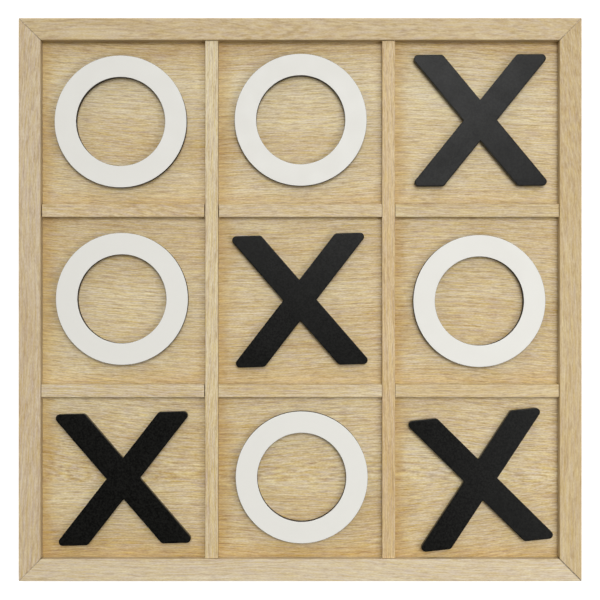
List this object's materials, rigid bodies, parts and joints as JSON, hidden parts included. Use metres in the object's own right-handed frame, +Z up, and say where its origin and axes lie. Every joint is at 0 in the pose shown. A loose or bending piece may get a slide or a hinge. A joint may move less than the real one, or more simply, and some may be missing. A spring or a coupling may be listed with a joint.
{
  "type": "tic tac toe set",
  "caption": "Square oak tray with a mitred frame, dividers that make a grid of cells, and loose ring and cross game pieces that lift out.",
  "frame": {"origin": "middle of the table surface under the four feet", "axes": "+Z up, away from the table; +Y towards the top rail; +X towards the right rail"},
  "size_m": [0.508, 0.508, 0.0205],
  "materials": {
    "oak_rail": "pale oak, clear matt lacquer, grain along each rail",
    "oak_divider": "pale oak, clear matt lacquer, grain along each divider",
    "oak_panel": "oak-faced board, clear matt lacquer, grain across the tray",
    "white_paint": "fine-textured satin white face, dark brown cut edges",
    "black_paint": "satin black paint all over",
    "nail_steel": "bright wire",
    "foot_rubber": "matt"
  },
  "bodies": {
    "tray": {"base_panel": "oak_panel", "frame_top_rail": "oak_rail", "frame_bottom_rail": "oak_rail", "frame_left_rail": "oak_rail", "frame_right_rail": "oak_rail", "long_divider_left": "oak_divider", "long_divider_right": "oak_divider", "short_divider_upper_left": "oak_divider", "short_divider_upper_middle": "oak_divider", "short_divider_upper_right": "oak_divider", "short_divider_lower_left": "oak_divider", "short_divider_lower_middle": "oak_divider", "short_divider_lower_right": "oak_divider", "panel_brad_top_1": "nail_steel", "panel_brad_top_2": "nail_steel", "panel_brad_left_1": "nail_steel", "panel_brad_left_2": "nail_steel", "panel_brad_bottom_1": "nail_steel", "panel_brad_bottom_2": "nail_steel", "panel_brad_right_1": "nail_steel", "panel_brad_right_2": "nail_steel", "divider_brad_long_left_top": "nail_steel", "divider_brad_long_left_bottom": "nail_steel", "divider_brad_long_right_top": "nail_steel", "divider_brad_long_right_bottom": "nail_steel", "divider_brad_upper_left": "nail_steel", "divider_brad_upper_middle": "nail_steel", "divider_brad_upper_right": "nail_steel", "divider_brad_lower_left": "nail_steel", "divider_brad_lower_middle": "nail_steel", "divider_brad_lower_right": "nail_steel", "v_nail_top_left_1": "nail_steel", "v_nail_top_left_2": "nail_steel", "v_nail_top_right_1": "nail_steel", "v_nail_top_right_2": "nail_steel", "v_nail_bottom_left_1": "nail_steel", "v_nail_bottom_left_2": "nail_steel", "v_nail_bottom_right_1": "nail_steel", "v_nail_bottom_right_2": "nail_steel", "foot_top_left": "foot_rubber", "foot_top_right": "foot_rubber", "foot_bottom_left": "foot_rubber", "foot_bottom_right": "foot_rubber"},
    "o_top_left": {"o_piece_top_left": "white_paint"},
    "o_top_middle": {"o_piece_top_middle": "white_paint"},
    "o_middle_left": {"o_piece_middle_left": "white_paint"},
    "o_middle_right": {"o_piece_middle_right": "white_paint"},
    "o_bottom_middle": {"o_piece_bottom_middle": "white_paint"},
    "x_top_right": {"x_piece_top_right": "black_paint"},
    "x_centre": {"x_piece_centre": "black_paint"},
    "x_bottom_left": {"x_piece_bottom_left": "black_paint"},
    "x_bottom_right": {"x_piece_bottom_right": "black_paint"}
  },
  "joints": [
    {"name": "o_top_left_lift", "type": "slide", "parent": "tray", "child": "o_top_left", "axis": [0, 0, 1], "range_m": [0, 0.06]},
    {"name": "o_top_middle_lift", "type": "slide", "parent": "tray", "child": "o_top_middle", "axis": [0, 0, 1], "range_m": [0, 0.06]},
    {"name": "o_middle_left_lift", "type": "slide", "parent": "tray", "child": "o_middle_left", "axis": [0, 0, 1], "range_m": [0, 0.06]},
    {"name": "o_middle_right_lift", "type": "slide", "parent": "tray", "child": "o_middle_right", "axis": [0, 0, 1], "range_m": [0, 0.06]},
    {"name": "o_bottom_middle_lift", "type": "slide", "parent": "tray", "child": "o_bottom_middle", "axis": [0, 0, 1], "range_m": [0, 0.06]},
    {"name": "x_top_right_lift", "type": "slide", "parent": "tray", "child": "x_top_right", "axis": [0, 0, 1], "range_m": [0, 0.06]},
    {"name": "x_centre_lift", "type": "slide", "parent": "tray", "child": "x_centre", "axis": [0, 0, 1], "range_m": [0, 0.06]},
    {"name": "x_bottom_left_lift", "type": "slide", "parent": "tray", "child": "x_bottom_left", "axis": [0, 0, 1], "range_m": [0, 0.06]},
    {"name": "x_bottom_right_lift", "type": "slide", "parent": "tray", "child": "x_bottom_right", "axis": [0, 0, 1], "range_m": [0, 0.06]}
  ]
}
